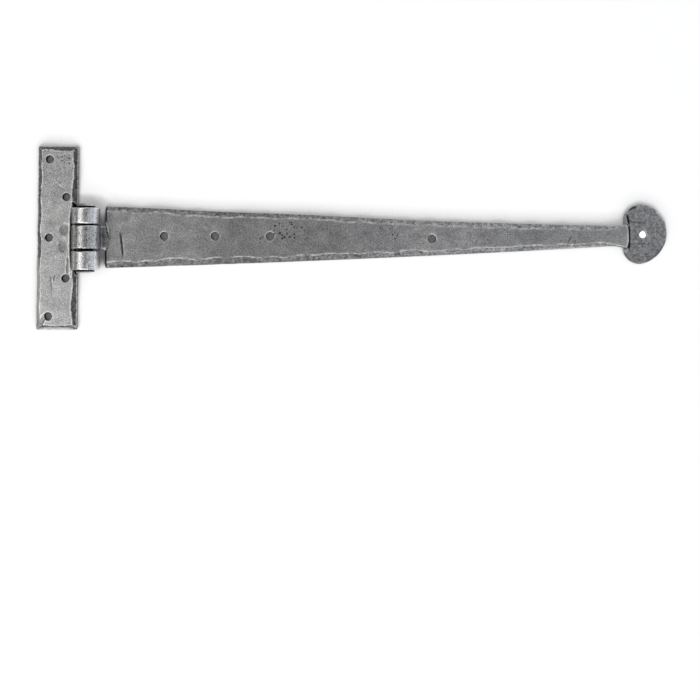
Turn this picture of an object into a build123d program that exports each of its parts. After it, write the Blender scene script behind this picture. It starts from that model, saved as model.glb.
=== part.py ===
# Tee hinge forged from flat steel bar: a frame plate, a long tapering strap that ends in a penny, and
# the riveted pin that the two turn on. It lies flat on its back, with +X along the strap, +Y along the
# pin and +Z out of the faces, and the origin is the middle of the frame plate's back. Millimetres.

import os
from math import cos, radians, sin
from random import Random

from build123d import *

# Bar and barrel
stock = 5.0  # thickness of the plate and the strap
barrel_radius = 11.2  # outside of the rolled knuckles, level with the backs of both leaves
pin_radius = 6.0
running_clearance = 0.08  # radial, between the pin and the strap's knuckle
pin_x = 25.85  # middle of the plate to the pin's axis
knuckle_chamfer = 0.4
seam_gap = 0.6  # where the plate's rolled ends meet its face

# Knuckles along the pin, lowest first
lower_knuckle = (-26.5, -11.3)
strap_knuckle = (-9.5, 9.4)
upper_knuckle = (10.6, 23.7)

# Frame plate
plate_width = 33.0
plate_length = 150.0
plate_corner = 1.2
notch_clearance = 1.0  # between the strap's knuckle and the plate
screw_radius = 3.25
outer_column_x = -6.25
outer_pitch = 64.0
inner_column_x = 7.65
inner_pitch = 66.4

# Strap, measured along X from the pin's axis
butt = 13.5
neck = 423.5
shoulder = 440.0
butt_low, butt_high = -24.8, 25.6
waist = (220.0, -17.4)  # a point of its lower side
high_side = [(335.5, 11.9), (254.0, 14.8), (172.5, 18.9), (107.3, 21.3), (58.4, 23.7)]  # points of its upper side
neck_half_width = 8.45
neck_rise = 1.2  # the strap's end drifts this far towards +Y
strap_screws = [(61.7, 1.2), (103.3, 1.2), (148.1, 1.1), (279.9, -1.1)]

# Penny
penny_thickness = 3.0
penny_screw = (452.6, 2.4)
penny_screw_radius = 2.7
shoulder_groove = (1.4, 0.6)  # width and depth of the chisel line at the foot of the shoulder

# Weld between the rolled knuckle and the butt: its toe wanders over the butt's face
weld_toe = [(13.4, 14.0), (17.2, -0.5), (13.4, -10.6)]

# Pin
upper_head = 4.2
lower_head = 2.4
head_radius = 7.6
rim_stand = 1.3  # the heads' rims stand clear of the knuckles by this
head_undercut = 1.3

# Hammered edges: each blow is a shallow round hollow that takes the corner off
hammer_radius = 90.0
blow_lean = 36.0  # degrees from upright, away from the piece

# Blows along the strap: distance from the pin's axis, and the width that each takes off the face
lower_blows = [
    (26, 4.9), (48, 4.3), (71, 6.0), (92, 4.2), (108, 5.4), (124, 5.4), (147, 4.4), (176, 4.9), (197, 5.2),
    (212, 4.7), (234, 4.7), (262, 5.2), (281, 3.6), (298, 4.2), (319, 4.5), (335, 3.9), (352, 4.0), (366, 3.9),
    (383, 4.0), (400, 3.0), (414, 3.3),
]
upper_blows = [
    (20, 3.6), (41, 4.2), (62, 3.0), (78, 4.3), (99, 4.5), (111, 4.4), (134, 3.9), (153, 4.2), (172, 3.4),
    (190, 3.4), (211, 4.1), (236, 3.9), (249, 3.8), (267, 4.1), (290, 4.1), (310, 4.2), (323, 4.3), (350, 4.4),
    (374, 4.2), (398, 3.8), (415, 3.5),
]


def along_pin(low, high, radius):
    return Pos(pin_x, (low + high) / 2, barrel_radius) * Rot(90, 0, 0) * Cylinder(radius, high - low)


# A block from the leaf's side of the barrel to the pin's axis
def leaf_end(low, high, start_x, bottom, top):
    length = pin_x - start_x
    return Pos(start_x + length / 2, (low + high) / 2, (bottom + top) / 2) * Box(
        abs(length), high - low, top - bottom
    )


# A knuckle is the leaf's end rolled once round the pin, on the front side of the leaf
def rolled_knuckle(span, bore_radius, leaf_start_x):
    low, high = span
    roll = along_pin(low, high, barrel_radius)
    roll = chamfer(roll.edges().filter_by(GeomType.CIRCLE), knuckle_chamfer)
    roll += leaf_end(low, high, leaf_start_x, 0, stock)
    return roll - along_pin(low - 1, high + 1, bore_radius)


def plate_knuckle(span):
    low, high = span
    seam = leaf_end(low - 1, high + 1, pin_x - barrel_radius - 1, stock, stock + seam_gap)
    seam -= along_pin(low - 2, high + 2, pin_radius - 2)
    return rolled_knuckle(span, pin_radius, pin_x - barrel_radius - 1) - seam


# Blows at an uneven pitch, each with the width that it takes off the face
def uneven_blows(length, pitch, width, seed):
    dice = Random(seed)
    walked = pitch * dice.uniform(0.2, 0.6)
    blows = []
    while walked < length:
        blows.append((walked, width * dice.uniform(0.8, 1.2)))
        walked += pitch * dice.uniform(0.7, 1.3)
    return blows


# Takes the corner off one edge of an outline: blows holds distances along the edge and widths
def hammer_edge(solid, edge, top, blows):
    lean = radians(blow_lean)
    for walked, width in blows:
        reach = hammer_radius - width * sin(lean)
        corner = edge.position_at(walked / edge.length)
        outward = edge.tangent_at(walked / edge.length).rotate(Axis.Z, -90)
        centre = corner + outward * (reach * sin(lean)) + Vector(0, 0, top + reach * cos(lean))
        solid -= Pos(centre) * Sphere(hammer_radius)
    return solid


def screw_hole(x, y, radius):
    return Pos(x, y, stock / 2) * Cylinder(radius, stock * 2)


def make_frame_plate():
    blank = RectangleRounded(plate_width, plate_length, plate_corner)
    plate = extrude(blank, stock)
    for number, edge in enumerate(blank.edges().filter_by(GeomType.LINE)):
        blows = uneven_blows(edge.length, pitch=14.0, width=3.6, seed=20 + number)
        plate = hammer_edge(plate, edge, stock, blows)
    notch_reach = barrel_radius + notch_clearance
    notch_low, notch_high = lower_knuckle[1], upper_knuckle[0]
    plate -= along_pin(notch_low, notch_high, notch_reach)
    for span in (lower_knuckle, upper_knuckle):
        plate += plate_knuckle(span)
    for row in (-1, 0, 1):
        plate -= screw_hole(outer_column_x, row * outer_pitch, screw_radius)
    for row in (-0.5, 0.5):
        plate -= screw_hole(inner_column_x, row * inner_pitch, screw_radius)
    return plate


# The strap's outline, anticlockwise from its lower butt corner
def strap_outline():
    low_neck = (neck, neck_rise - neck_half_width)
    high_neck = (neck, neck_rise + neck_half_width)
    low_edge = ThreePointArc((butt, butt_low), waist, low_neck)
    high_edge = Spline(high_neck, *high_side, (butt, butt_high))
    low_flare = ThreePointArc(low_neck, (432.5, -7.4), (shoulder - 1, -8.9))
    high_flare = ThreePointArc((shoulder - 1, 11.0), (432.5, 9.8), high_neck)
    end = ThreePointArc((shoulder - 1, -8.9), (shoulder + 0.8, 1.5), (shoulder - 1, 11.0))
    butt_edge = Line((butt, butt_high), (butt, butt_low))
    return low_edge, low_flare, end, high_flare, high_edge, butt_edge


# The penny: nearly round, flat where it leaves the neck, and a little fuller above than below
def penny_outline():
    flat_low, flat_high = (437.2, -12.6), (437.3, 17.2)
    bottom, tip, top = (450.2, -21.6), (471.9, 1.4), (451.2, 27.5)
    return (
        ThreePointArc(flat_low, (441.9, -18.9), bottom),
        ThreePointArc(bottom, (464.7, -14.2), tip),
        ThreePointArc(tip, (466.7, 19.4), top),
        ThreePointArc(top, (442.0, 23.8), flat_high),
        Line(flat_high, flat_low),
    )


def make_penny():
    outline = penny_outline()
    penny = extrude(make_face(outline), penny_thickness)
    for number, edge in enumerate(outline[:4]):
        blows = uneven_blows(edge.length, pitch=11.0, width=1.5, seed=50 + number)
        penny = hammer_edge(penny, edge, penny_thickness, blows)
    arm_end = make_face(strap_outline())
    width, depth = shoulder_groove
    groove = extrude(Pos(width, 0) * arm_end, depth) & Pos(shoulder, 1, 0) * Box(8, 22, 4 * stock)
    penny -= Pos(0, 0, penny_thickness - depth) * groove
    return penny


# The strap's roll ends in a weld, run along the front of the tongue between the knuckle and the butt
def knuckle_weld():
    low, high = strap_knuckle
    toe_high, toe_middle, toe_low = weld_toe
    section = Polyline(
        (8.5, 4.0), (18, 4.0), (18, 5.3), (14.6, 5.8), (12.4, 6.3), (10.7, 8.0), (8.5, 8.0), close=True
    )
    section_plane = Plane(origin=(0, toe_high[1], 0), x_dir=(1, 0, 0), z_dir=(0, -1, 0))
    bead = extrude(section_plane * make_face(section), toe_high[1] - toe_low[1])
    plan = (
        Polyline(toe_low, (butt, low), (8, low), (8, high), (butt, high), toe_high),
        ThreePointArc(toe_high, toe_middle, toe_low),
    )
    return bead & extrude(make_face(plan), 2 * stock)


def make_strap():
    outline = strap_outline()
    arm = extrude(make_face(outline), stock)
    low_edge, high_edge = outline[0], outline[4]
    arm = hammer_edge(arm, low_edge, stock, [(x - butt, width) for x, width in lower_blows])
    arm = hammer_edge(arm, high_edge, stock, [(neck - x, width) for x, width in upper_blows])
    arm += make_penny()
    arm += knuckle_weld()
    for x, y in strap_screws:
        arm -= screw_hole(x, y, screw_radius)
    arm -= screw_hole(*penny_screw, penny_screw_radius)
    bore_radius = pin_radius + running_clearance
    strap = Pos(pin_x, 0, 0) * arm + rolled_knuckle(strap_knuckle, bore_radius, pin_x + butt + 1)
    return strap - along_pin(strap_knuckle[0] - 1, strap_knuckle[1] + 1, bore_radius)


# The pin's ends are hammered over the barrel's ends into low domes
def make_hinge_pin():
    low, high = lower_knuckle[0], upper_knuckle[1]
    rim_high, rim_low = (head_radius, high + rim_stand), (head_radius, low - rim_stand)
    crown_high, crown_low = (0, high + upper_head), (0, low - lower_head)
    foot = head_radius - head_undercut
    profile = [
        Line(crown_low, crown_high),
        TangentArc(crown_high, rim_high, tangent=(1, 0)),
        Polyline(
            rim_high,
            (foot, high),
            (pin_radius, high),
            (pin_radius, low),
            (foot, low),
            rim_low,
        ),
        TangentArc(crown_low, rim_low, tangent=(1, 0)),
    ]
    return Pos(pin_x, 0, barrel_radius) * revolve(make_face(profile), Axis.Y)


os.makedirs("parts", exist_ok=True)
export_step(make_frame_plate(), "parts/frame_plate.step")
export_step(make_strap(), "parts/strap.step")
export_step(make_hinge_pin(), "parts/hinge_pin.step")
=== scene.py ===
# Forged tee hinge in pewter-patinated steel, lying on a white table under soft light.

import math

import bpy
import numpy as np
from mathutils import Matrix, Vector


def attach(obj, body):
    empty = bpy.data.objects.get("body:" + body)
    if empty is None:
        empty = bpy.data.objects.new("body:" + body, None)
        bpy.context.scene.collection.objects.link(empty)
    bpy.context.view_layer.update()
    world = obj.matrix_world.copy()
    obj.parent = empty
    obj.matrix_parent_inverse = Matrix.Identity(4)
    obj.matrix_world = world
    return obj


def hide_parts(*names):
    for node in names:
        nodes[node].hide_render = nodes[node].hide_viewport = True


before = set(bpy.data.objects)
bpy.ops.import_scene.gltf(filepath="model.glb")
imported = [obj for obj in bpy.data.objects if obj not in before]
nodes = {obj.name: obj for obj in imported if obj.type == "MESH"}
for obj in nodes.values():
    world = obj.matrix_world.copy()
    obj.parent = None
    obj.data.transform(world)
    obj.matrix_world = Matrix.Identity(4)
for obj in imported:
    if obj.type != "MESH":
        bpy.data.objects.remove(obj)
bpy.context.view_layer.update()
mm = 0.001


def linearColour(hexText):
    parts = [int(hexText[i : i + 2], 16) / 255 for i in (1, 3, 5)]
    return [p / 12.92 if p <= 0.04045 else ((p + 0.055) / 1.055) ** 2.4 for p in parts] + [1.0]


# Adds one node, with its properties, and sets or links its inputs
def addNode(tree, kind, inputs=None, **properties):
    node = tree.nodes.new(kind)
    for name, value in properties.items():
        setattr(node, name, value)
    for key, value in (inputs or {}).items():
        if isinstance(value, bpy.types.NodeSocket):
            tree.links.new(value, node.inputs[key])
        else:
            node.inputs[key].default_value = value
    return node


def maths(tree, kind, a, b):
    return addNode(tree, "ShaderNodeMath", {0: a, 1: b}, operation=kind).outputs[0]


def times(tree, a, b):
    return maths(tree, "MULTIPLY", a, b)


def scaled(tree, vector, factor):
    inputs = {0: vector, "Scale": factor}
    return addNode(tree, "ShaderNodeVectorMath", inputs, operation="SCALE").outputs[0]


# Carries one range over to another, held at both ends
def mapRange(tree, source, ends, low=0.0, high=1.0):
    inputs = {"Value": source, "From Min": ends[0], "From Max": ends[1], "To Min": low, "To Max": high}
    return addNode(tree, "ShaderNodeMapRange", inputs).outputs[0]


# Surface relief shared by the three forged pieces, in mm
reliefSettings = {
    "Planish Size": 26.0,  # between the broad hollows left by the hammer's face
    "Planish Depth": 0.25,
    "Scale Size": 2.6,  # the grain that forge scale leaves
    "Scale Depth": 0.10,
    "Pit Spacing": 5.5,
    "Pit Depth": 0.35,
    "Chatter Size": 4.2,  # the small uneven facets along the hammered flanks
    "Chatter Depth": 0.55,
}
reliefSeed = 11.0
reliefLimits = {
    "flankFoot": (0.4, 0.62),  # how upright a surface is, from a wall's 0 to a face's 1
    "flankTop": (0.94, 0.88),
    "face": (0.2, 0.8),
    "wallShare": 0.1,  # of the relief, which the walls keep
    "pitChance": (0.55, 1.0),  # a cell that draws less than the first has no pit
    "pitRadius": 0.22,  # of the spacing, at most
    "leastPit": 0.001,  # keeps the slope of a missing pit finite
    "facetReach": 0.9,  # of the spacing, from a facet's middle to its rim
}


def reliefTree(limits):
    tree = bpy.data.node_groups.new("forgedRelief", "GeometryNodeTree")
    sockets = tree.interface
    sockets.new_socket("Geometry", in_out="INPUT", socket_type="NodeSocketGeometry")
    for name in (*reliefSettings, "Seed"):
        sockets.new_socket(name, in_out="INPUT", socket_type="NodeSocketFloat")
    sockets.new_socket("Material", in_out="INPUT", socket_type="NodeSocketMaterial")
    sockets.new_socket("Geometry", in_out="OUTPUT", socket_type="NodeSocketGeometry")
    source = addNode(tree, "NodeGroupInput").outputs
    place = addNode(tree, "GeometryNodeInputPosition").outputs[0]
    normal = addNode(tree, "GeometryNodeInputNormal").outputs[0]

    def pattern(kind, size, inputs=None, **properties):
        inputs = {
            "Vector": place,
            "Scale": maths(tree, "DIVIDE", 1.0, source[size]),
            "W": source["Seed"],
            **(inputs or {}),
        }
        return addNode(tree, kind, inputs, **properties).outputs

    noise, cells = "ShaderNodeTexNoise", "ShaderNodeTexVoronoi"
    soft = {"Detail": 1.0, "Roughness": 0.4}
    fine = {"Detail": 2.0, "Roughness": 0.55}
    planish = pattern(noise, "Planish Size", soft, noise_dimensions="4D")["Fac"]
    grain = pattern(noise, "Scale Size", fine, noise_dimensions="4D")["Fac"]
    pits = pattern(cells, "Pit Spacing", voronoi_dimensions="4D")
    facets = pattern(cells, "Chatter Size", voronoi_dimensions="4D")["Distance"]

    pitRadius = mapRange(tree, pits["Color"], limits["pitChance"], 0.0, limits["pitRadius"])
    pitEdge = maths(tree, "ADD", pitRadius, limits["leastPit"])
    pit = mapRange(tree, pits["Distance"], (0.0, pitEdge), 1.0, 0.0)
    upright = addNode(tree, "ShaderNodeSeparateXYZ", {0: normal}).outputs["Z"]
    upright = maths(tree, "ABSOLUTE", upright, 0.0)
    flank = times(
        tree,
        mapRange(tree, upright, limits["flankTop"]),
        mapRange(tree, upright, limits["flankFoot"]),
    )
    chatter = maths(tree, "SUBTRACT", limits["facetReach"], facets)
    chatter = times(tree, chatter, source["Chatter Depth"])

    depth = times(tree, planish, source["Planish Depth"])
    for more in (
        times(tree, grain, source["Scale Depth"]),
        times(tree, pit, source["Pit Depth"]),
        times(tree, chatter, flank),
    ):
        depth = maths(tree, "ADD", depth, more)
    depth = times(tree, depth, mapRange(tree, upright, limits["face"], limits["wallShare"], 1.0))
    inward = scaled(tree, normal, times(tree, depth, -1.0))

    moved = addNode(tree, "GeometryNodeSetPosition", {"Geometry": source["Geometry"], "Offset": inward})
    smooth = addNode(tree, "GeometryNodeSetShadeSmooth", {0: moved.outputs[0]})
    joined = addNode(tree, "GeometryNodeRealizeInstances", {0: smooth.outputs[0]})
    inputs = {"Geometry": joined.outputs[0], "Material": source["Material"]}
    finished = addNode(tree, "GeometryNodeSetMaterial", inputs)
    addNode(tree, "NodeGroupOutput", {"Geometry": finished.outputs[0]})
    return tree


# A closed copy of a CAD node, evenly remeshed and given the relief, as a plain mesh
def forgeSkin(nodeName, pieceName, material, tree, settings):
    data = nodes[nodeName].data.copy()
    rough = bpy.data.objects.new(pieceName + "Rough", data)
    bpy.context.scene.collection.objects.link(rough)
    weld = rough.modifiers.new("weld", "WELD")
    weld.merge_threshold = 1e-6
    remesh = rough.modifiers.new("remesh", "REMESH")
    remesh.mode = "VOXEL"
    remesh.voxel_size = settings["voxel"] * mm
    relief = rough.modifiers.new("relief", "NODES")
    relief.node_group = tree
    values = {name: size * mm for name, size in {**reliefSettings, **settings["relief"]}.items()}
    values.update({"Seed": reliefSeed, "Material": material})
    for item in tree.interface.items_tree:
        if item.in_out == "INPUT" and item.name in values:
            relief[item.identifier] = values[item.name]
    depsgraph = bpy.context.evaluated_depsgraph_get()
    mesh = bpy.data.meshes.new_from_object(rough.evaluated_get(depsgraph))
    mesh.name = pieceName
    bpy.data.objects.remove(rough)
    piece = bpy.data.objects.new(pieceName, mesh)
    bpy.context.scene.collection.objects.link(piece)
    return piece


# Marks that the smith and years of handling left, with some painted light and shade, for each piece, in
# mm as the hinge lies.
# dents: middle, half length, half width, direction in degrees, depth, how dark the patina sits there,
# which for some is painted shadow
# rubs: strokes and spots rubbed bright, one of them partly a painted highlight: middle, half length, half
# width, direction, strength
# rust: patches that rust has pitted: middle, half width, half height, how thickly
# scorch: patches of scale that the brush never cleared, and on the plate a painted shadow: middle, half
# width, half height, how dark
# tone: how much lighter or darker the brush left the patina, with painted light and shade as the light
# falls, at points along toneAxis
# holes: place and radius
plateSettings = {
    "voxel": 0.45,
    "relief": {},
    "crest": 0.026,  # how sharp an edge must be to wear bright
    "innerDull": 0.3,  # how much less it wears on the barrel's side
    "barrelRust": 0.45,
    "rim": 0.25,  # how bright the holes' rims are rubbed
    "holes": [
        (-6.25, 64, 3.25),
        (-6.25, 0, 3.25),
        (-6.25, -64, 3.25),
        (7.65, 33.2, 3.25),
        (7.65, -33.2, 3.25),
    ],
    "dents": [
        ((6.2, 7.2), 5.6, 4.1, 80, 0.70, 0.36),
        ((5.4, -6.2), 6.4, 3.9, 84, 0.65, 0.34),
        ((-3.8, -37.0), 6.0, 0.8, 96, 0.20, 0.30),
        ((-1.6, -33.0), 3.0, 0.6, 80, 0.20, 0.25),
        ((9.4, -24.0), 9.0, 1.2, 88, 0.35, 0.35),
        ((4.6, 40.5), 2.4, 0.7, -35, 0.15, 0.0),
        ((9.0, 66.0), 5.6, 3.2, 10, 0.25, 0.16),
        ((1.4, 66.6), 3.0, 1.6, 0, 0.20, 0.14),
        ((-10.6, -67.0), 5.5, 2.2, 62, 0.55, 0.15),
        # these four are painted shadow: beside the knuckles' ends under the pin's heads, and in the
        # crease along the barrel's foot
        ((14.0, 26.7), 2.7, 1.3, 130, 0.45, 1.00),
        ((14.4, 25.6), 2.6, 0.9, 8, 0.60, 1.00),
        ((15.0, -27.8), 3.4, 0.8, 108, 0.90, 0.80),
        ((12.1, -1.0), 26.0, 1.6, 90, 0.60, 1.00),
    ],
    "rubsAndSheen": [
        ((8.9, -5.3), 5.4, 0.5, -65, 0.7),
        ((10.7, -16.0), 7.0, 0.5, 91, 0.7),
        ((2.9, 42.1), 2.4, 0.6, -35, 1.0),
        ((11.4, -26.0), 1.4, 0.9, 40, 1.0),
        ((11.0, -33.6), 3.2, 0.9, 66, 0.6),
        ((-13.4, -65.4), 5.0, 1.8, 50, 0.6),
        ((-14.6, -44.0), 30.0, 2.4, 91, 0.9),
        # partly rubbed wear, partly a painted highlight on the bottom edge, which faces the main light
        ((-0.6, -74.0), 15.0, 1.4, 0, 0.8),
    ],
    "rust": [
        ((8.0, 63.0), 7.0, 9.0, 0.9),
        ((2.0, 0.0), 12.0, 60.0, 0.25),
        ((1.0, -58.0), 8.0, 8.0, 0.4),
    ],
    # painted shadow beside the upper knuckle's end, under the pin's head
    "scaleAndShadow": [((15.0, 27.0), 2.6, 2.2, 0.8)],
    "toneAxis": "y",
    # partly the patina's own tone, partly painted shade: darker towards the top
    "tone": [(-75, 0.01), (-30, -0.02), (0, -0.08), (35, -0.15), (75, -0.15)],
    "flankTone": 0.15,  # how much darker the hammered flanks are
    "innerFlankTone": 0.35,  # and how much more painted shade on the flanks that face the barrel
    # painted shade on the plate's walls that face the barrel
    "innerWallTone": 0.4,
}
strapSettings = {
    "voxel": 0.65,
    "relief": {},
    "crest": 0.042,
    "crestShare": 0.8,
    "crestHeight": (3.3, 3.8),  # the lower rims stay dull
    "barrelRust": 0.75,
    "rim": 0.75,
    "holes": [
        (87.55, 1.2, 3.25),
        (129.15, 1.2, 3.25),
        (173.95, 1.1, 3.25),
        (305.75, -1.1, 3.25),
        (478.45, 2.4, 2.7),
    ],
    "dents": [
        ((53.2, -5.9), 10.6, 0.85, -83, 0.55, 1.00),
        ((41.1, 6.1), 8.6, 0.6, -77, 0.50, 1.00),
        ((37.6, 0.0), 9.6, 2.4, 90, 0.0, 0.5),
        # these two are painted shadow along the butt's end, beside the barrel
        ((39.9, 18.4), 7.0, 1.2, 90, 0.40, 1.00),
        ((39.9, -17.4), 8.0, 1.2, 90, 0.40, 1.00),
        ((477.2, -5.2), 4.0, 1.1, -3, 0.20, 0.40),
        ((473.0, 12.0), 8.5, 1.0, -9, 0.20, 0.28),
        # these two sink a groove at the step down to the penny and paint the shadow under that step
        ((466.5, 14.6), 4.8, 1.3, -78, 0.50, 1.00),
        ((467.3, -0.3), 11.4, 1.3, 89, 0.40, 1.00),
        ((470.2, 24.0), 4.4, 1.3, 24, 0.30, 0.80),
        ((417.8, -2.0), 4.2, 0.6, 62, 0.25, 0.45),
        ((422.0, -4.5), 3.0, 0.5, 70, 0.20, 0.40),
        ((359.0, -6.0), 4.6, 0.5, 24, 0.12, 0.0),
        ((120.0, 8.0), 9.0, 3.4, -12, 0.15, 0.05),
    ],
    "rubsAndSheen": [
        ((39.6, -8.8), 1.9, 0.7, 78, 1.0),
        ((39.2, 14.6), 1.2, 0.6, 60, 0.8),
        ((356.4, -5.5), 4.2, 0.4, 26, 0.6),
        ((423.0, -8.8), 34.0, 1.5, 3, 0.45),
        ((465.1, -1.5), 8.6, 0.7, 89, 0.30),
        ((466.5, -10.6), 4.4, 0.5, 28, 0.4),
        ((472.0, 14.0), 7.0, 0.5, -10, 0.3),
        ((497.0, -3.0), 9.0, 0.5, 48, 0.25),
    ],
    "rust": [
        ((188.0, 6.0), 17.0, 10.0, 1.0),
        ((166.0, -1.0), 5.0, 4.0, 0.9),
        ((202.0, -2.0), 5.0, 5.0, 0.8),
        ((265.0, 2.0), 20.0, 9.0, 0.75),
        ((240.0, 0.0), 200.0, 14.0, 0.2),
        ((432.0, 1.0), 34.0, 8.0, 0.5),
        ((480.0, 3.0), 24.0, 26.0, 0.3),
        ((43.0, -1.0), 6.0, 10.0, 0.7),
    ],
    "scaleAndShadow": [((38.0, 1.6), 4.6, 13.6, 0.6)],
    "toneAxis": "x",
    # partly the patina's own tone, partly painted shade: darker towards the butt
    "tone": [
        (42, -0.32),
        (75, -0.31),
        (105, -0.25),
        (145, -0.28),
        (230, -0.16),
        (280, 0.07),
        (370, 0.13),
        (470, 0.09),
    ],
    "penny": (467.5, 469.0),  # where the strap ends and the penny starts
    "pennyScale": 0.75,  # how much of the flanks' scale the penny has all over
    "pennyTone": 0.1,
    "upperFlankTone": 0.48,  # painted light: how much lighter the flank is that faces the back
    "buttFlank": (250, 100),  # and the flanks are painted lighter along here, towards the butt
    "buttFlankTone": 0.22,
    "turnedTone": 0.5,  # painted shade: how much darker the lower edge's turn is, which faces the main light
}
pinSettings = {
    "voxel": 0.35,
    "relief": {"Planish Depth": 0.1, "Pit Depth": 0.0},
    "crest": 0.05,
    "innerDull": 0.3,
    "barrelRust": 0.45,
    "holes": [],
    "dents": [],
    "rubsAndSheen": [],
    "rust": [],
    "scaleAndShadow": [],
    "toneAxis": "x",
    "tone": [(0, -0.3)],
    # stretches that lie in shadow between the knuckles and under the heads
    "gaps": [(-27.6, -26.1), (-11.7, -9.1), (9.0, 11.0), (23.3, 25.2)],
}
barrelSettings = {
    "axisX": 25.85,
    "axisZ": 11.2,
    "endRadius": 10.9,  # of the knuckles' end faces, which are painted near black as the shade between the knuckles
    "endFacing": (0.45, 0.75),
    "foot": (5.6, 7.1),  # heights over which the leaves turn into the barrel
    # painted light on the barrel's side towards the strap, painted shade on its side towards the plate
    "strapSide": (34.0, 35.5),
    "strapSideTone": 0.55,
    "plateSide": (18.8, 16.4),
    "plateSideTone": 0.7,
}
# Pairs are where an effect starts and is full: how upright a surface is, or how far it faces one way
wearSettings = {
    "leafTop": 5.2,  # mm, no flank lies higher than this
    "scorchTop": 9.5,
    "dentFoot": 1.5,  # and no dent lower than this
    "dentUpright": (0.3, 0.7),
    "rustRim": (1.15, 0.65),  # patches fade out between these shares of their size
    "scorchRim": (1.1, 0.85),
    "scorchUpright": 0.2,
    "rubUpright": 0.5,
    "crestPower": 1.6,
    "crestUpright": (0.25, 0.5),
    "crestSpread": 0.8,  # of a crest's wear, passed on to the points beside it
    "crestInner": (0, 0.3),
    "lightSide": -0.15,  # edges that face the main light more than this
    "lightSideCrest": 0.2,  # keep this share of a crest's wear; the full wear on the other crests is partly painted highlight
    "creaseBend": (0.025, 0.085),
    "flankUpright": (0.96, 0.84),
    "flankTurn": (0, 0.4),
    # painted shade: how much darker the flanks are that face the main light
    "frontFlankTone": 0.2,
    "wallTurn": (0.6, 0.8),
    "turnStart": (-0.03, -0.11),
    "turnEnd": (-0.56, -0.48),
}
holeSettings = {
    "quietReach": 1.5,  # mm from a hole, where crests keep only this share of their wear
    "quietShare": 0.6,
    "rimOffset": 0.35,
    "rimWidth": 0.6,
    "rimUpright": 0.7,
    "wallReach": 0.5,
    "wallTop": 4.9,
    "wallUpright": (0.7, 0.3),
    "wallDark": 0.85,  # painted shade on the holes' walls
}


def readSurface(mesh):
    count = len(mesh.vertices)
    places = np.empty(count * 3, np.float32)
    mesh.vertices.foreach_get("co", places)
    normals = np.empty(count * 3, np.float32)
    mesh.vertex_normals.foreach_get("vector", normals)
    return places.reshape(-1, 3).astype(np.float64), normals.reshape(-1, 3).astype(np.float64)


def writeAttribute(mesh, name, values):
    layer = mesh.attributes.new(name, "FLOAT", "POINT")
    layer.data.foreach_set("value", values.astype(np.float32))


# Rises from 0 at start to 1 at end, or falls where end is the lower
def ramp(values, start, end):
    return np.clip((values - start) / (end - start), 0, 1)


# How far each point lies inside an oval stroke, 1 along its middle and 0 outside
def strokeShape(x, y, middle, halfLength, halfWidth, direction):
    turn = math.radians(direction)
    along = (x - middle[0]) * math.cos(turn) + (y - middle[1]) * math.sin(turn)
    across = (y - middle[1]) * math.cos(turn) - (x - middle[0]) * math.sin(turn)
    power, fill = (4, 1.25) if halfLength > 2 * halfWidth else (2, 1.0)  # long strokes end bluntly
    return np.clip(fill * (1 - (along / halfLength) ** power - (across / halfWidth) ** 2), 0, 1)


# 1 at the rim of an oval patch
def patchDistance(x, y, middle, halfWidth, halfHeight):
    return np.hypot((x - middle[0]) / halfWidth, (y - middle[1]) / halfHeight)


# Sinks the dents into the front face and marks the rusted patches; gives back how dark each point is
def strikeMarks(piece, settings, wear):
    mesh = piece.data
    places, normals = readSurface(mesh)
    x, y, z = (places / mm).T
    face = ramp(normals[:, 2], *wear["dentUpright"]) * (z > wear["dentFoot"])
    sink = np.zeros(len(x))
    dark = np.zeros(len(x))
    # the darkness of some dents is painted shadow, not patina
    for *stroke, depth, stainAndShade in settings["dents"]:
        shape = strokeShape(x, y, *stroke)
        sink = np.maximum(sink, depth * shape)
        dark = np.maximum(dark, stainAndShade * shape)
    rust = settings["barrelRust"] * ramp(z, *barrelSettings["foot"])
    for *patch, density in settings["rust"]:
        rust = np.maximum(rust, density * ramp(patchDistance(x, y, *patch), *wear["rustRim"]))
    writeAttribute(mesh, "rust", rust)
    places[:, 2] -= sink * face * mm
    mesh.vertices.foreach_set("co", places.astype(np.float32).ravel())
    mesh.update()
    return dark * face


# How sharply the surface bends at each point: below 0 on a crest, above 0 in a crease.
# Also gives the two ends of every edge of the mesh.
def surfaceBend(mesh, places, normals):
    count = len(places)
    edges = np.empty(len(mesh.edges) * 2, np.int32)
    mesh.edges.foreach_get("vertices", edges)
    a, b = edges.reshape(-1, 2).T
    degree = np.maximum(np.bincount(a, minlength=count) + np.bincount(b, minlength=count), 1)
    toward = places[b] - places[a]
    bend = np.bincount(a, (toward * normals[a]).sum(1), count)
    bend -= np.bincount(b, (toward * normals[b]).sum(1), count)
    bend /= degree * np.linalg.norm(toward, axis=1).mean()
    for _ in range(2):
        around = (np.bincount(a, bend[b], count) + np.bincount(b, bend[a], count)) / degree
        bend = 0.4 * bend + 0.6 * around
    return bend, a, b
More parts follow.
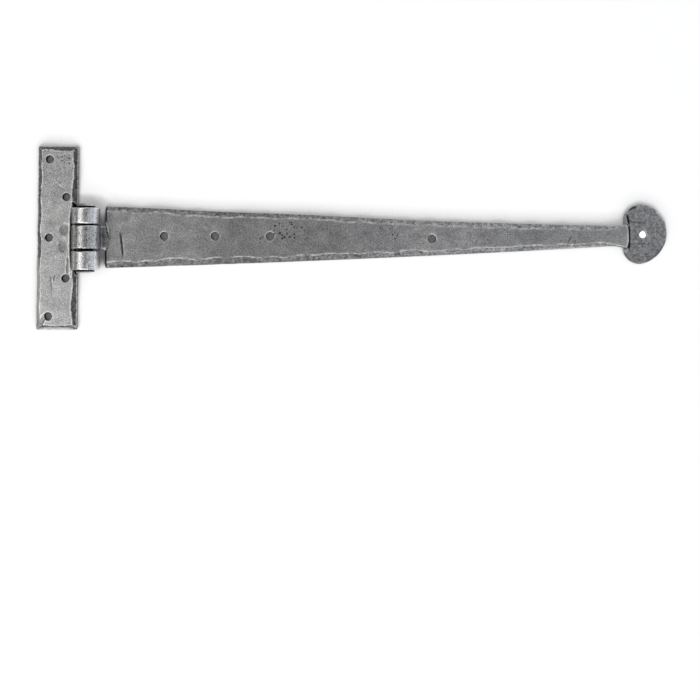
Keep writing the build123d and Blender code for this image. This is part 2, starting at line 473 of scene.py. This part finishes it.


# Marks where handling burnishes crests, and where hammered flanks, creases and holes stay dark; also
# where shade is painted on the holes' walls, the knuckles' end faces and the pin between them, and where
# light and shade are painted on flanks and barrel sides as the light falls on them
def markWear(piece, settings, wear, dark):
    mesh = piece.data
    places, normals = readSurface(mesh)
    x, y, z = (places / mm).T
    inward, facing, upward = normals.T
    leaf = z < wear["leafTop"]
    bend, a, b = surfaceBend(mesh, places, normals)
    sharp = settings["crest"]
    crest = ramp(-bend, sharp, 2 * sharp) ** wear["crestPower"]
    crest *= ramp(upward, *wear["crestUpright"])
    broader = crest.copy()
    np.maximum.at(broader, a, wear["crestSpread"] * crest[b])
    np.maximum.at(broader, b, wear["crestSpread"] * crest[a])
    # crests facing the main light keep little painted wear; the others' wear is partly painted highlight
    crest = np.where(facing < wear["lightSide"], wear["lightSideCrest"] * crest, broader)
    if piece is strap:
        crest *= settings["crestShare"] * ramp(z, *settings["crestHeight"])
    else:
        crest *= 1 - settings["innerDull"] * ramp(inward, *wear["crestInner"])

    rubAndSheen = np.zeros(len(x))
    for *stroke, strength in settings["rubsAndSheen"]:
        rubbed = strength * strokeShape(x, y, *stroke) * (upward > wear["rubUpright"])
        rubAndSheen = np.maximum(rubAndSheen, rubbed)
    hollow = np.maximum(ramp(bend, *wear["creaseBend"]), dark)
    flank = ramp(upward, *wear["flankUpright"]) * leaf
    for *patch, strength in settings["scaleAndShadow"]:
        scaleAndShadow = strength * ramp(patchDistance(x, y, *patch), *wear["scorchRim"])
        scaleAndShadow *= (upward > wear["scorchUpright"]) * (z < wear["scorchTop"])
        flank = np.maximum(flank, scaleAndShadow)

    tone = 1 + np.interp(y if settings["toneAxis"] == "y" else x, *zip(*settings["tone"]))
    if piece is framePlate:
        # painted shade on the plate's flanks and walls that face the barrel
        innerFlankShade = settings["innerFlankTone"] * ramp(inward, *wear["flankTurn"])
        tone *= 1 - flank * (settings["flankTone"] + innerFlankShade)
        tone *= 1 - settings["innerWallTone"] * ramp(inward, *wear["wallTurn"]) * leaf
    if piece is strap:
        penny = ramp(x, *settings["penny"])
        flank = np.maximum(flank, settings["pennyScale"] * penny)
        tone *= 1 + settings["pennyTone"] * penny
        # painted light on the flanks that face the back and towards the butt, painted shade on the lower
        # edge's turn
        tone *= 1 + settings["upperFlankTone"] * flank * ramp(facing, *wear["flankTurn"])
        tone *= 1 + settings["buttFlankTone"] * flank * ramp(x, *settings["buttFlank"]) * leaf
        turnedShade = ramp(facing, *wear["turnStart"]) * ramp(facing, *wear["turnEnd"])
        tone *= 1 - settings["turnedTone"] * turnedShade * leaf
    # painted shade on the flanks that face the main light
    tone *= 1 - wear["frontFlankTone"] * flank * ramp(-facing, *wear["flankTurn"])

    hole = holeSettings
    # painted shade, near black, on the holes' walls
    wellShade = np.zeros(len(x))
    for holeX, holeY, radius in settings["holes"]:
        fromRim = np.hypot(x - holeX, y - holeY) - radius
        crest[fromRim < hole["quietReach"]] *= hole["quietShare"]
        rim = ramp(np.abs(fromRim - hole["rimOffset"]), hole["rimWidth"], 0)
        rubAndSheen = np.maximum(rubAndSheen, settings["rim"] * rim * (upward > hole["rimUpright"]))
        inside = (fromRim < hole["wallReach"]) & (z < hole["wallTop"])
        wellShade[inside] = hole["wallDark"] * ramp(np.abs(upward[inside]), *hole["wallUpright"])
    hollow = np.maximum(hollow, wellShade)

    if piece is pin:
        for low, high in settings["gaps"]:
            hollow[(y > low) & (y < high)] = 1.0
    else:
        # painted shade on the knuckles' end faces, between the knuckles
        fromAxis = np.hypot(x - barrelSettings["axisX"], z - barrelSettings["axisZ"])
        endFace = ramp(np.abs(facing), *barrelSettings["endFacing"])
        hollow = np.maximum(hollow, endFace * (fromAxis < barrelSettings["endRadius"]))
    barrel = ramp(z, *barrelSettings["foot"])
    # painted light on the barrel's strap side, painted shade on its plate side
    tone *= 1 + barrelSettings["strapSideTone"] * barrel * ramp(x, *barrelSettings["strapSide"])
    tone *= 1 - barrelSettings["plateSideTone"] * barrel * ramp(x, *barrelSettings["plateSide"])

    marks = {"crest": crest, "rubAndSheen": rubAndSheen, "hollow": hollow, "flank": flank, "barrel": barrel, "tone": tone}
    for name, values in marks.items():
        writeAttribute(mesh, name, values)


patinaSettings = {
    "darkTone": "#8b8b8e",
    "lightTone": "#acacad",
    "barrelTone": "#c9c9cb",
    "flankDark": "#525154",
    "flankLight": "#a3a3a4",
    "brightTone": "#e6e6e4",
    "rubTone": "#d6d6d3",
    "sunkTone": "#1a1818",
    "cloudSize": 90.0,  # mm, broad tide marks of the patina
    "cloudTone": (0.92, 1.08),
    "mottleSize": 9.0,
    "grainSize": 1.0,  # the brush's grit
    "grainTone": (0.45, 1.55),
    "grainDepth": 0.28,
    "flankSize": 2.4,
    "pitSpacing": 2.0,
    "pitReach": 0.72,  # of the spacing, for the largest pits where rust is worst
    "roughness": (0.36, 0.50),
    "barrelPolish": 0.12,
}


# Forged mild steel under a waxed pewter patina. The faces are brushed back to a soft mid grey, the
# hammered flanks keep darker scale, every crest is worn to bright metal, and pits and creases stay
# near black. The same near black is painted shade in the holes, at the knuckles' ends and beside
# some edges, and the tone attribute carries painted light and shade as well.
def pewterPatina(name, settings):
    material = bpy.data.materials.new(name)
    material.use_nodes = True
    tree = material.node_tree
    tree.nodes.clear()
    place = addNode(tree, "ShaderNodeTexCoord").outputs["Object"]

    def noise(size, detail, roughness, phase):
        scale = 1 / (size * mm)
        inputs = {"Vector": place, "Scale": scale, "Detail": detail, "Roughness": roughness, "W": phase}
        return addNode(tree, "ShaderNodeTexNoise", inputs, noise_dimensions="4D").outputs["Fac"]

    # noise lies mostly between 0.3 and 0.7
    def remap(source, low, high, ends=(0.3, 0.7)):
        return mapRange(tree, source, ends, low, high)

    def blend(factor, under, over):
        colours = [linearColour(c) if isinstance(c, str) else c for c in (under, over)]
        inputs = {"Factor": factor, "A": colours[0], "B": colours[1]}
        return addNode(tree, "ShaderNodeMix", inputs, data_type="RGBA").outputs["Result"]

    marks = ("crest", "rubAndSheen", "hollow", "flank", "barrel", "rust", "tone")
    worn = {}
    for key in marks:
        worn[key] = addNode(tree, "ShaderNodeAttribute", attribute_name=key).outputs["Fac"]
    cloud = noise(settings["cloudSize"], 1.0, 0.5, 3.0)
    mottle = noise(settings["mottleSize"], 4.0, 0.62, 1.0)
    grain = noise(settings["grainSize"], 2.5, 0.7, 2.0)
    scale = noise(settings["flankSize"], 3.0, 0.65, 5.0)
    inputs = {"Vector": place, "Scale": 1 / (settings["pitSpacing"] * mm)}
    cells = addNode(tree, "ShaderNodeTexVoronoi", inputs).outputs
    chance = addNode(tree, "ShaderNodeSeparateColor", {"Color": cells["Color"]}).outputs["Red"]
    reach = times(tree, remap(chance, 0.0, settings["pitReach"], (0.3, 1.0)), worn["rust"])
    pit = mapRange(tree, cells["Distance"], (0.0, reach), 1.8, 0.0)

    face = blend(remap(mottle, 0.0, 1.0), settings["darkTone"], settings["lightTone"])
    face = blend(worn["barrel"], face, settings["barrelTone"])
    flankMix = remap(scale, 0.0, 1.0, (0.32, 0.64))
    flank = blend(flankMix, settings["flankDark"], settings["flankLight"])
    ground = blend(worn["flank"], face, flank)
    clouded = times(tree, remap(grain, *settings["grainTone"]), remap(cloud, *settings["cloudTone"]))
    ground = scaled(tree, ground, times(tree, clouded, worn["tone"]))
    burnish = times(tree, worn["crest"], remap(scale, 0.42, 1.0, (0.4, 0.56)))
    ground = blend(burnish, ground, settings["brightTone"])
    ground = blend(times(tree, worn["rubAndSheen"], remap(grain, 0.5, 1.0)), ground, settings["rubTone"])
    pitted = times(tree, pit, remap(worn["rust"], 0.0, 0.85, (0.0, 0.9)))
    ground = blend(pitted, ground, settings["sunkTone"])
    ground = blend(worn["hollow"], ground, settings["sunkTone"])

    polish = times(tree, worn["barrel"], settings["barrelPolish"])
    rough = maths(tree, "SUBTRACT", remap(grain, *settings["roughness"]), polish)
    inputs = {"Strength": 1.0, "Distance": settings["grainDepth"] * mm, "Height": grain}
    bump = addNode(tree, "ShaderNodeBump", inputs).outputs[0]
    inputs = {"Metallic": 1.0, "Base Color": ground, "Roughness": rough, "Normal": bump}
    shader = addNode(tree, "ShaderNodeBsdfPrincipled", inputs)
    addNode(tree, "ShaderNodeOutputMaterial", {"Surface": shader.outputs[0]})
    return material


patina = pewterPatina("pewterPatinaSteel", patinaSettings)
relief = reliefTree(reliefLimits)
print("patina and relief ready")

framePlate = forgeSkin("frame_plate", "hammeredFramePlate", patina, relief, plateSettings)
strap = forgeSkin("strap", "hammeredStrap", patina, relief, strapSettings)
pin = forgeSkin("hinge_pin", "peenedPin", patina, relief, pinSettings)
for piece, settings, node, body, slot in (
    (framePlate, plateSettings, "frame_plate", "frame", "forged_steel"),
    (strap, strapSettings, "strap", "strap", "forged_steel"),
    (pin, pinSettings, "hinge_pin", "frame", "pin_steel"),
):
    dark = strikeMarks(piece, settings, wearSettings)
    markWear(piece, settings, wearSettings, dark)
    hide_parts(node)
    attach(piece, body)
    print(piece.name, len(piece.data.polygons), "faces")


tableSettings = {
    "halfWidth": 3.0,
    "drop": 0.0002,  # below the hinge's back, so that the two never flicker
    "colour": "#fbfbfc",
    "gain": 0.42,  # how much of the lamps' light the camera sees on the paper
    "glow": 0.64,  # and how much even white is added, so that its shadows stay pale
    "creaseReach": 13.0,  # mm, how far off a wall still shades the paper beside it
    "creaseLean": 50.0,  # degrees, that shade lies mostly on the side away from the main light
    "creaseEnds": (0.6, 0.92),
    "creaseDark": 0.52,
    # painted shade on the paper inside the hinge's holes
    "holeEnds": (0.5, 0.64),
    "holeDark": 0.22,
    # a painted pool of light: the paper under the penny's hole is bright by itself
    "glarePlace": (0.47845, 0.0024, 0.0),
    "glareRadius": 0.0034,
    "glareLevel": 2.6,
    "touching": 0.001,  # the hinge's back mirrors only what is further off than this
}


# Matt paper, bright to the camera with its shadows kept
def whiteTable(settings):
    material = bpy.data.materials.new("whiteTablePaper")
    material.use_nodes = True
    tree = material.node_tree
    tree.nodes.clear()
    colour = linearColour(settings["colour"])
    bright = [c * settings["gain"] for c in colour[:3]]

    # how open the paper is, seen along a direction that leans this far towards the main light
    def openness(degrees):
        lean = math.radians(degrees)
        aim = addNode(tree, "ShaderNodeCombineXYZ", {"Y": -math.sin(lean), "Z": math.cos(lean)})
        inputs = {"Distance": settings["creaseReach"] * mm, "Normal": aim.outputs[0]}
        return addNode(tree, "ShaderNodeAmbientOcclusion", inputs, samples=8).outputs["AO"]

    toLight = openness(settings["creaseLean"])
    fromLight = openness(-settings["creaseLean"])
    crease = mapRange(tree, toLight, settings["creaseEnds"], settings["creaseDark"], 1.0)
    widest = maths(tree, "MAXIMUM", toLight, fromLight)
    shade = times(tree, crease, mapRange(tree, widest, settings["holeEnds"], settings["holeDark"], 1.0))
    # painted light: a bright spot on the paper under the penny's hole
    place = addNode(tree, "ShaderNodeTexCoord").outputs["Object"]
    inputs = {0: place, 1: settings["glarePlace"]}
    fromHole = addNode(tree, "ShaderNodeVectorMath", inputs, operation="DISTANCE").outputs["Value"]
    inHole = maths(tree, "LESS_THAN", fromHole, settings["glareRadius"])
    inputs = {"Factor": inHole, "A": shade, "B": settings["glareLevel"]}
    level = addNode(tree, "ShaderNodeMix", inputs, data_type="FLOAT").outputs["Result"]

    paper = addNode(tree, "ShaderNodeBsdfDiffuse", {"Color": colour}).outputs[0]
    matt = addNode(tree, "ShaderNodeBsdfDiffuse", {"Color": scaled(tree, bright, level)}).outputs[0]
    inputs = {"Color": colour, "Strength": times(tree, level, settings["glow"])}
    glow = addNode(tree, "ShaderNodeEmission", inputs).outputs[0]
    lifted = addNode(tree, "ShaderNodeAddShader", {0: matt, 1: glow}).outputs[0]
    ray = addNode(tree, "ShaderNodeLightPath").outputs
    seen = maths(tree, "MAXIMUM", ray["Is Camera Ray"], ray["Is Glossy Ray"])
    seen = maths(tree, "MAXIMUM", seen, ray["Is Transmission Ray"])
    chosen = addNode(tree, "ShaderNodeMixShader", {"Fac": seen, 1: paper, 2: lifted}).outputs[0]

    # from below the paper is clear, to the camera and to the light on the hinge's back
    below = addNode(tree, "ShaderNodeNewGeometry").outputs["Backfacing"]
    near = maths(tree, "LESS_THAN", ray["Ray Length"], settings["touching"])
    unseen = maths(tree, "MAXIMUM", below, times(tree, near, ray["Is Glossy Ray"]))
    clear = addNode(tree, "ShaderNodeBsdfTransparent").outputs[0]
    oneSided = addNode(tree, "ShaderNodeMixShader", {"Fac": unseen, 1: chosen, 2: clear})
    addNode(tree, "ShaderNodeOutputMaterial", {"Surface": oneSided.outputs[0]})

    reach = settings["halfWidth"]
    mesh = bpy.data.meshes.new("whiteTable")
    corners = [(-reach, -reach, 0), (reach, -reach, 0), (reach, reach, 0), (-reach, reach, 0)]
    mesh.from_pydata(corners, [], [(0, 1, 2, 3)])
    mesh.materials.append(material)
    table = bpy.data.objects.new("whiteTable", mesh)
    table.location.z = -settings["drop"]
    bpy.context.scene.collection.objects.link(table)


whiteTable(tableSettings)

# direction is degrees round from +X and height in degrees above the table
lampSettings = {
    "front": {
        "direction": -95,
        "height": 46,
        "distance": 4.4,
        "size": (6.6, 3.2),
        "power": 188.0,
        "tint": "#ffffff",
    },
    "left": {
        "direction": 183,
        "height": 54,
        "distance": 1.2,
        "size": (0.9, 0.6),
        "power": 3.9,
        "tint": "#fffdf8",
    },
    "back": {
        "direction": 88,
        "height": 50,
        "distance": 1.4,
        "size": (1.2, 0.8),
        "power": 2.2,
        "tint": "#ffffff",
    },
    "right": {
        "direction": 3,
        "height": 22,
        "distance": 1.2,
        "size": (0.9, 1.1),
        "power": 1.6,
        "tint": "#e0f2ff",
    },
}
lampAim = Vector((0.16, 0.0, 0.0))


def softBox(name, direction, height, distance, size, power, tint):
    lamp = bpy.data.lights.new(name, "AREA")
    lamp.shape = "RECTANGLE"
    lamp.size, lamp.size_y = size
    lamp.energy = power
    lamp.color = linearColour(tint)[:3]
    turn, up = math.radians(direction), math.radians(height)
    flat = math.cos(up)
    toLamp = Vector((math.cos(turn) * flat, math.sin(turn) * flat, math.sin(up)))
    holder = bpy.data.objects.new(name, lamp)
    holder.location = lampAim + toLamp * distance
    holder.rotation_euler = toLamp.to_track_quat("Z", "Y").to_euler()
    bpy.context.scene.collection.objects.link(holder)


for name, settings in lampSettings.items():
    softBox(name + "SoftBox", **settings)

roomSettings = {
    "overhead": 0.08,  # the camera's side of the room is dark
    "overheadStart": (0.6, 0.97),
    "leftWall": 0.06,
    "rightWall": 0.52,
    "wallEnds": (-0.7, 0.5),
}


def studioRoom(settings):
    world = bpy.data.worlds.new("studioRoom")
    world.use_nodes = True
    tree = world.node_tree
    tree.nodes.clear()
    around = addNode(tree, "ShaderNodeTexCoord").outputs["Generated"]
    place = addNode(tree, "ShaderNodeSeparateXYZ", {0: around}).outputs
    leftWall, rightWall = settings["leftWall"], settings["rightWall"]
    walls = mapRange(tree, place["X"], settings["wallEnds"], leftWall, rightWall)
    level = mapRange(tree, place["Z"], settings["overheadStart"], walls, settings["overhead"])
    light = addNode(tree, "ShaderNodeBackground", {"Color": (1, 1, 1, 1), "Strength": level})
    addNode(tree, "ShaderNodeOutputWorld", {"Surface": light.outputs[0]})
    bpy.context.scene.world = world


studioRoom(roomSettings)

cameraSettings = {"place": (0.23905, -0.0244, 0.6996), "lens": 43.9, "pitch": 2.0, "shift": -0.1604}
camera = bpy.data.objects.new("overheadCamera", bpy.data.cameras.new("overheadCamera"))
camera.location = cameraSettings["place"]
camera.rotation_euler = (math.radians(cameraSettings["pitch"]), 0, 0)
camera.data.lens = cameraSettings["lens"]
camera.data.shift_y = cameraSettings["shift"]
camera.data.clip_start = 0.01
bpy.context.scene.collection.objects.link(camera)
bpy.context.scene.camera = camera
bpy.context.scene.view_settings.view_transform = "Standard"
print("table, lamps and camera placed")
